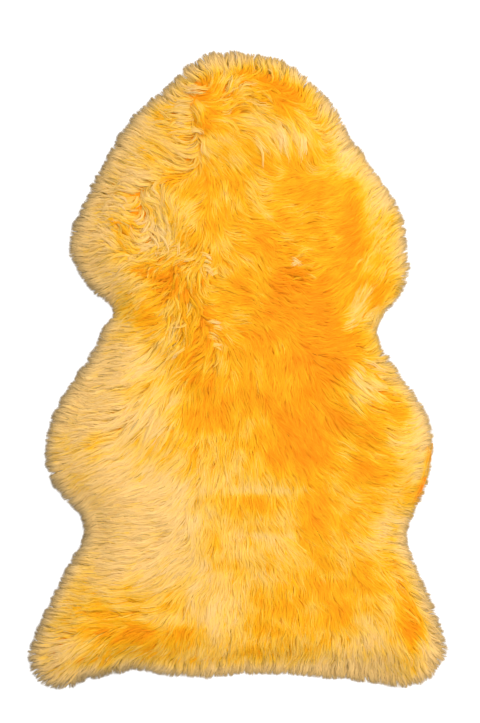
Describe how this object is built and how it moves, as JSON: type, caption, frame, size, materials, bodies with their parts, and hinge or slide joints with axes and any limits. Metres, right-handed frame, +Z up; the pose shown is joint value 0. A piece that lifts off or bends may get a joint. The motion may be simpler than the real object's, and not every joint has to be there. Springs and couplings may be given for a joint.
{
  "type": "sheepskin rug",
  "caption": "Whole sheepskin laid flat as a floor rug: neck, foreleg, belly and hind leg outline, long golden wool, ragged rim of locks, tanned hide below.",
  "frame": {"origin": "on the floor, under the middle of the rug's box", "axes": "+Z up out of the wool, +Y from the tail towards the neck, +X to the right in the picture"},
  "size_m": [0.6229, 0.9515, 0.0519],
  "materials": {
    "wool": "long combed wool, dyed golden yellow to orange, paler at its tips",
    "hide": "tanned skin with a brushed suede underside"
  },
  "bodies": {
    "root": {"fleece": "wool", "hide": "hide"}
  },
  "joints": []
}
